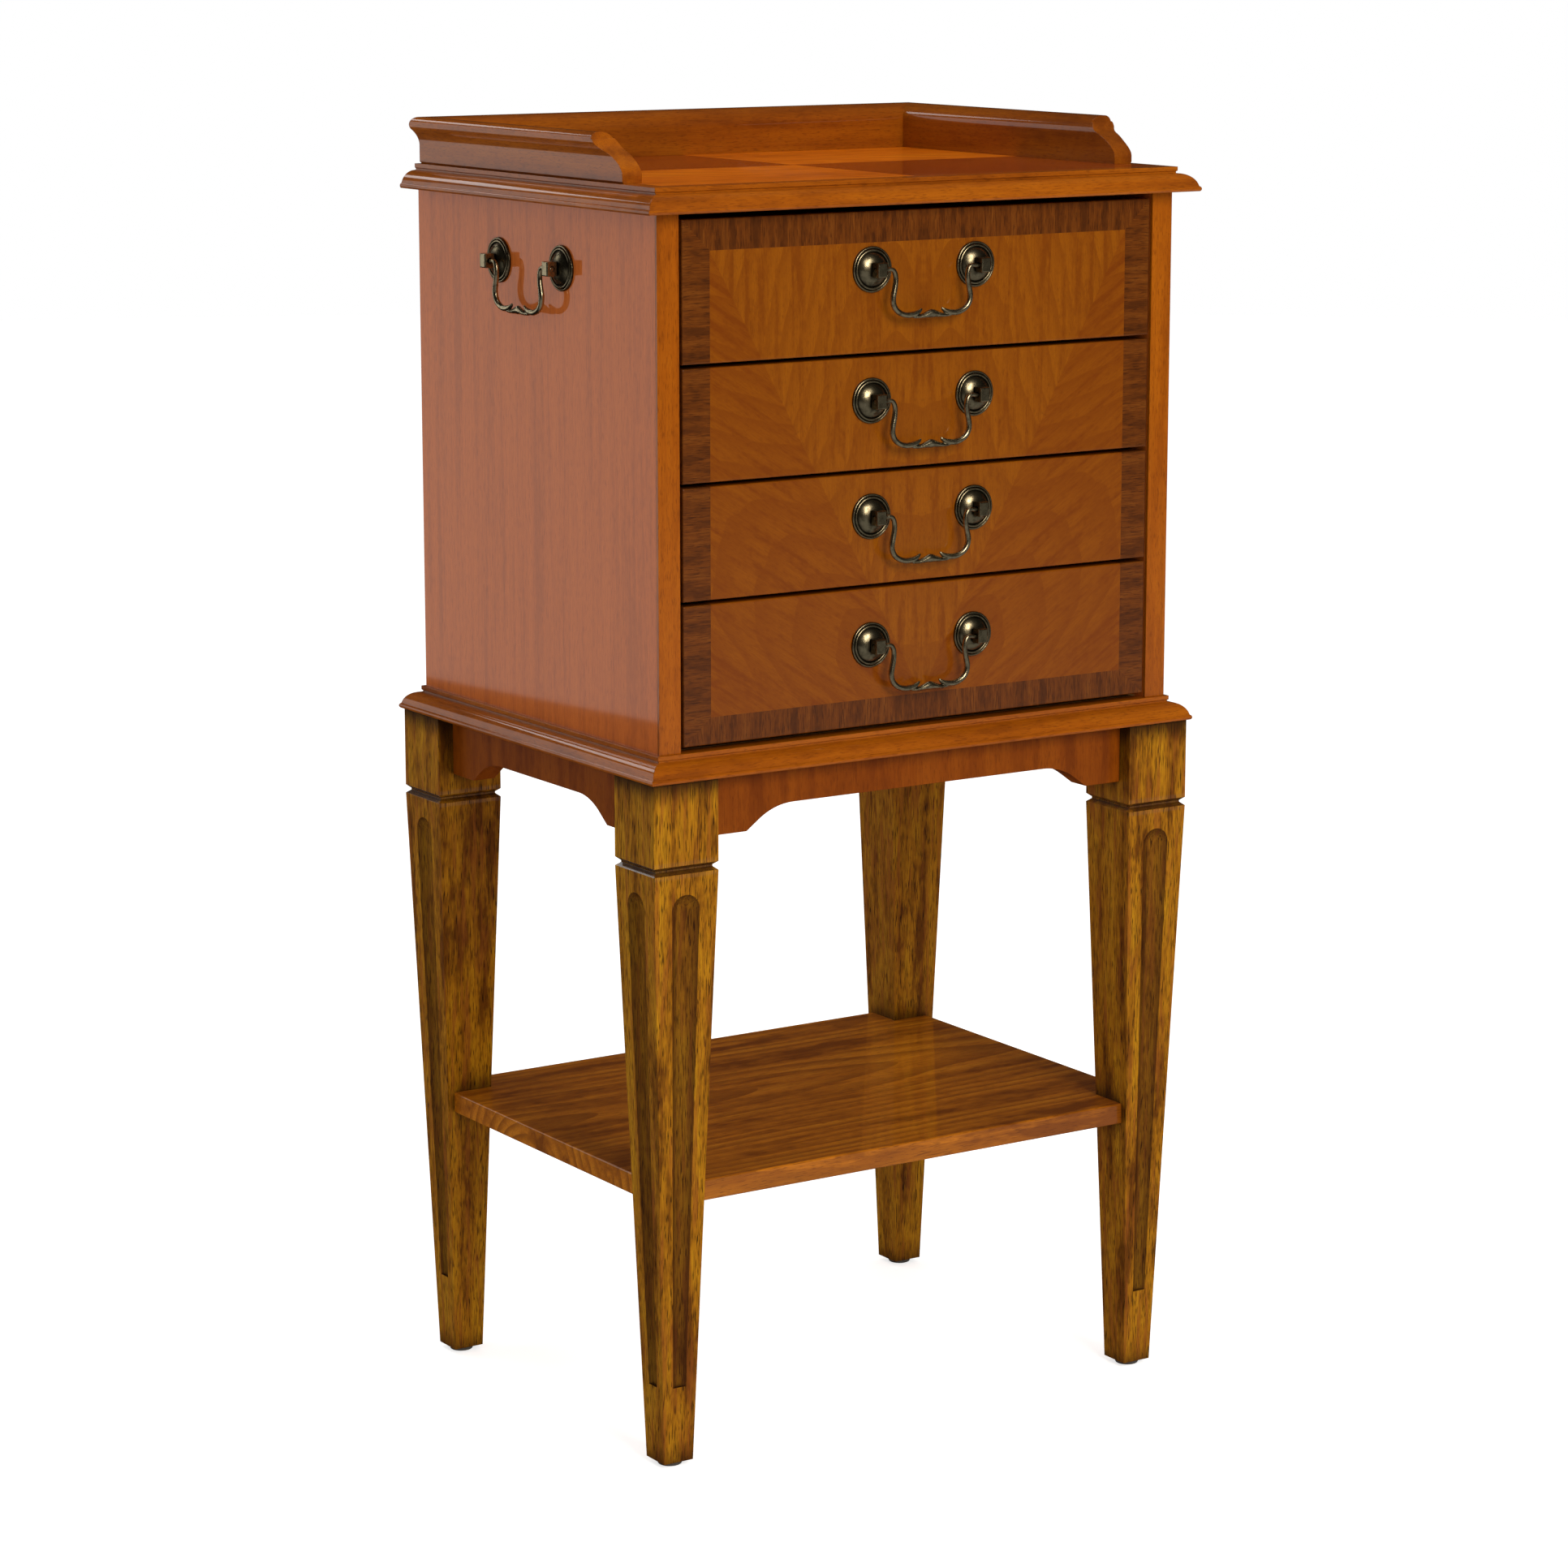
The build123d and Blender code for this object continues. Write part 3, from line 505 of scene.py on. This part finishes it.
# ---- Posts and rosettes -----------------------------------------------------
# A domed rosette with a ringed rim and a square-headed post at each end of a
# pull, cast in brass, toned nearly black and rubbed back to metal where hands
# and cloth reach. Studs go through the wood to a nut inside.
def old_brass(name, worn, deep):
    """Toned brass: dark in every hollow, pale and smoother where it is rubbed.

    The grain of the casting is drawn at about 0.7 mm, coarser than real, to show.
    """
    material, tree, out = surface(name)
    place = (add(tree, "TexCoord"), "Object")
    hollow = add(tree, "AmbientOcclusion", {"Distance": 0.004}, samples=6)
    cloud = add(tree, "TexNoise", {"Vector": place, "Scale": 260.0, "Detail": 4.0,
                                   "Roughness": 0.65})
    grit = add(tree, "TexNoise", {"Vector": place, "Scale": 1500.0, "Detail": 2.0})
    open_air = add(tree, "Math", {0: (hollow, "AO"), 1: 1.4}, operation="POWER")
    patchy = add(tree, "MapRange", {0: cloud, 1: 0.3, 2: 0.7, 3: 0.72, 4: 1.12})
    rubbed = add(tree, "Math", {0: open_air, 1: patchy}, operation="MULTIPLY")
    colour = add(tree, "ValToRGB", {0: rubbed}, stops=[
        (0.20, deep), (0.62, "#4e4636"), (0.98, worn)])
    rough = add(tree, "MapRange", {0: rubbed, 1: 0.2, 2: 0.9, 3: 0.5, 4: 0.25})
    skin = add(tree, "Bump", {"Height": grit, "Distance": 0.00006, "Strength": 0.7})
    shader = add(tree, "BsdfPrincipled", {
        "Base Color": (colour, 0), "Metallic": 1.0, "Roughness": rough, "Normal": skin})
    tree.links.new(shader.outputs[0], out.inputs[0])
    return material


PULLS = ["drawer_%d_pull" % n for n in (1, 2, 3, 4)]
post_brass = old_brass("toned_brass_posts", "#9e9274", "#120e08")
finish_with(post_brass, *[name + "_posts" for name in PULLS + ["handle_left", "handle_right"]])


# ---- Bails ------------------------------------------------------------------
# Swan-neck rods cast in the same toned brass. Each arm leaves its post, turns
# down, swells at the hip and ends in a curled horn; a pointed leaf joins the
# two under the horns.
# right arm from its pin to its horn: (out from the middle, up from the pin, radius) in mm
ARM = [(49.3, 0.0, 1.95), (47.6, 0.0, 1.95), (46.4, 0.0, 1.65), (42.0, 0.0, 1.6),
       (38.6, 0.35, 1.55), (36.0, 0.7, 1.6), (33.6, -0.2, 1.75), (32.1, -2.6, 1.85),
       (31.5, -6.2, 1.9), (31.9, -11.0, 2.0), (33.0, -16.0, 2.1), (33.8, -20.2, 2.15),
       (33.4, -24.4, 2.15), (31.2, -28.4, 2.15), (27.0, -31.3, 2.15), (22.0, -32.7, 2.2),
       (17.4, -32.6, 2.2), (14.0, -31.9, 2.0), (11.4, -30.8, 1.6), (9.6, -29.5, 1.1),
       (8.6, -28.6, 0.6)]
# right half of the leaf: (out, up, half height, half width) in mm
HALF_LEAF = [(0.0, -32.5, 3.3, 2.5), (3.8, -33.1, 2.6, 2.4), (7.4, -33.9, 1.9, 2.2),
             (11.0, -34.3, 1.5, 1.9), (15.0, -34.2, 1.3, 1.5), (19.0, -33.6, 0.9, 1.1)]
LEAF = [(-x, *rest) for x, *rest in HALF_LEAF[:0:-1]] + HALF_LEAF
# from the pin's middle line up to the top of its box
PIN_RISE = 0.0022


def smooth(points, steps):
    """Points along a Catmull-Rom line through the given ones; extra numbers go with them."""
    path = []
    last = len(points) - 1
    for i in range(last):
        a, b, c, d = (Vector(points[max(0, min(last, i + k))]) for k in (-1, 0, 1, 2))
        for s in range(steps):
            t = s / steps
            path.append(0.5 * ((2 * b) + (c - a) * t + (2 * a - 5 * b + 4 * c - d) * t * t
                               + (3 * b - a - 3 * c + d) * t ** 3))
    return path + [Vector(points[-1])]


def cast(shell, path, ridge, sides=18):
    """Adds a closed tapering bar along a flat path of (x, z, half height, half width).

    A ridge of 1 gives a round section, and more draws it in to a sharper one.
    """
    loops = []
    for i, p in enumerate(path):
        ahead, behind = path[min(i + 1, len(path) - 1)], path[max(i - 1, 0)]
        run = Vector((ahead[0] - behind[0], 0, ahead[1] - behind[1])).normalized()
        up = Vector((-run.z, 0, run.x))
        loop = []
        for k in range(sides):
            turn = 2 * math.pi * k / sides
            c, s = math.cos(turn), math.sin(turn)
            c, s = (math.copysign(abs(v) ** ridge, v) for v in (c, s))
            spot = Vector((p[0], 0, p[1])) + up * s * p[2] + Vector((0, 1, 0)) * c * p[3]
            loop.append(shell.verts.new(spot / 1000))
        loops.append(loop)
    for a, b in zip(loops, loops[1:]):
        for k in range(sides):
            shell.faces.new((a[k], a[(k + 1) % sides], b[(k + 1) % sides], b[k]))
    shell.faces.new(loops[0][::-1])
    shell.faces.new(loops[-1])


def bail_mesh():
    """The bail hanging in the XZ plane from a pivot line along X, as one cast skin."""
    shell = bmesh.new()
    for side in (1, -1):
        arm = [(side * x, z, r, r) for x, z, r in ARM]
        cast(shell, smooth(arm, 5), 1.0)
    cast(shell, smooth(LEAF, 5), 1.25)
    bmesh.ops.recalc_face_normals(shell, faces=shell.faces)
    mesh = bpy.data.meshes.new("bail_parts")
    shell.to_mesh(mesh)
    shell.free()
    blank = bpy.data.objects.new("bail_parts", mesh)
    bpy.context.collection.objects.link(blank)
    join = blank.modifiers.new("join", "REMESH")
    join.mode, join.voxel_size, join.use_smooth_shade = "VOXEL", 0.00033, True
    soften = blank.modifiers.new("soften", "SMOOTH")
    soften.factor, soften.iterations = 0.5, 3
    bpy.context.view_layer.update()
    done = bpy.data.meshes.new_from_object(
        blank.evaluated_get(bpy.context.evaluated_depsgraph_get()))
    bpy.data.objects.remove(blank)
    return done


one_bail = bail_mesh()
bail_brass = old_brass("toned_brass_bails", "#b6aa8b", "#1e180f")
for n, name in enumerate(PULLS + ["handle_left", "handle_right"], 1):
    low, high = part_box(name + "_bail")
    middle = (low + high) / 2
    degrees = {"handle_left": -90, "handle_right": 90}.get(name, 0)
    turn = Matrix.Rotation(math.radians(degrees), 4, "Z")
    data = one_bail.copy()
    data.transform(Matrix.Translation((middle.x, middle.y, high.z - PIN_RISE)) @ turn)
    data.shade_smooth()
    data.materials.clear()
    data.materials.append(bail_brass)
    bail = bpy.data.objects.new(name + "_cast_bail", data)
    bpy.context.collection.objects.link(bail)
    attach(bail, "pull_%d" % n if n <= 4 else name)
    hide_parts(name + "_bail")


# ---- Floor, light and camera ------------------------------------------------
# Pale seamless floor. A broad panel stands at the left and toward the back, a
# soft lamp hangs in front, a small one behind for the edges, and one overhead.
floor_mesh = bpy.data.meshes.new("floor")
sweep = bmesh.new()
bmesh.ops.create_circle(sweep, cap_ends=True, segments=96, radius=9.0)
sweep.to_mesh(floor_mesh)
sweep.free()
floor = bpy.data.objects.new("floor", floor_mesh)
bpy.context.collection.objects.link(floor)
# matt paper: the lens sees it near white, with only a soft shadow at the feet
pale, tree, out = surface("pale_studio_floor")
place = (add(tree, "TexCoord"), "Object")
mottle = add(tree, "TexNoise", {"Vector": place, "Scale": 3.0, "Detail": 2.0})
colour = add(tree, "Mix", {0: mottle, 6: paint("#f4f3f1"), 7: paint("#faf9f8")}, data_type="RGBA")
ray = add(tree, "LightPath")
glow = add(tree, "Math", {0: (ray, "Is Camera Ray"), 1: 0.68}, operation="MULTIPLY")
shader = add(tree, "BsdfPrincipled", {"Base Color": (colour, 2), "Roughness": 0.9,
                                      "Emission Color": (1, 1, 1, 1), "Emission Strength": glow})
tree.links.new(shader.outputs[0], out.inputs[0])
floor_mesh.materials.append(pale)
floor.visible_glossy = False

studio = bpy.data.worlds.new("studio")
studio.use_nodes = True
tree = studio.node_tree
tree.nodes.clear()
ray = add(tree, "LightPath")
white = add(tree, "Background", {"Color": (1, 1, 1, 1), "Strength": 1.0})
dim = add(tree, "Background", {"Color": (1, 1, 1, 1), "Strength": 0.42})
# in polish the room is dark, and the floor in front of the chest a little lighter
way = add(tree, "SeparateXYZ", {0: (add(tree, "TexCoord"), "Generated")})
in_front = add(tree, "MapRange", {0: (way, 1), 1: 0.2, 2: -0.2, 3: 0.01, 4: 0.26})
below = add(tree, "MapRange", {0: (way, 2), 1: -0.10, 2: -0.19, 3: 0.008, 4: in_front},
            interpolation_type="SMOOTHSTEP")
room = add(tree, "Background", {"Color": (1, 1, 1, 1), "Strength": below})
seen = add(tree, "MixShader", {0: (ray, "Is Glossy Ray"), 1: dim, 2: room})
backdrop = add(tree, "MixShader", {0: (ray, "Is Camera Ray"), 1: seen, 2: white})
add(tree, "OutputWorld", {0: backdrop})
bpy.context.scene.world = studio


def panel(name, spot, target, size, radiance, tint, roll=0.0):
    """Rectangular soft lamp of an even brightness, facing its target, rolled by degrees."""
    lamp = bpy.data.lights.new(name, "AREA")
    lamp.shape, lamp.size, lamp.size_y = "RECTANGLE", size[0], size[1]
    lamp.energy = radiance * math.pi * size[0] * size[1]
    lamp.color = paint(tint)[:3]
    light = bpy.data.objects.new(name, lamp)
    light.location = spot
    light.rotation_euler = (Vector(target) - Vector(spot)).to_track_quat("-Z", "Y").to_euler()
    light.rotation_euler.rotate_axis("Z", math.radians(roll))
    light.visible_camera = False
    bpy.context.collection.objects.link(light)


panel("side_panel", (-1.5, 2.25, 1.14), (0.0, 2.25, 1.14), (1.9, 2.1), 1.0, "#fffdfa", 2.9)
panel("key", (-0.15, -3.4, 2.3), (0.0, 0.0, 0.6), (1.7, 1.7), 8.5, "#fff6ea")
panel("edge_lamp", (-0.75, 2.8, 2.35), (0.0, 0.0, 0.9), (0.7, 0.3), 3.0, "#ffffff")
panel("top_lamp", (0.1, 0.2, 3.2), (0.1, 0.2, 0.0), (1.2, 1.2), 3.0, "#fffaf2")

eye = bpy.data.cameras.new("camera")
eye.sensor_width = 36.0
eye.lens = 101.877
camera = bpy.data.objects.new("camera", eye)
camera.location = (-1.83799, -2.80761, 1.12996)
camera.rotation_euler = (math.pi / 2 - 0.196972, 0.0, -0.577651)
bpy.context.collection.objects.link(camera)
bpy.context.scene.camera = camera
bpy.context.scene.view_settings.view_transform = "Standard"
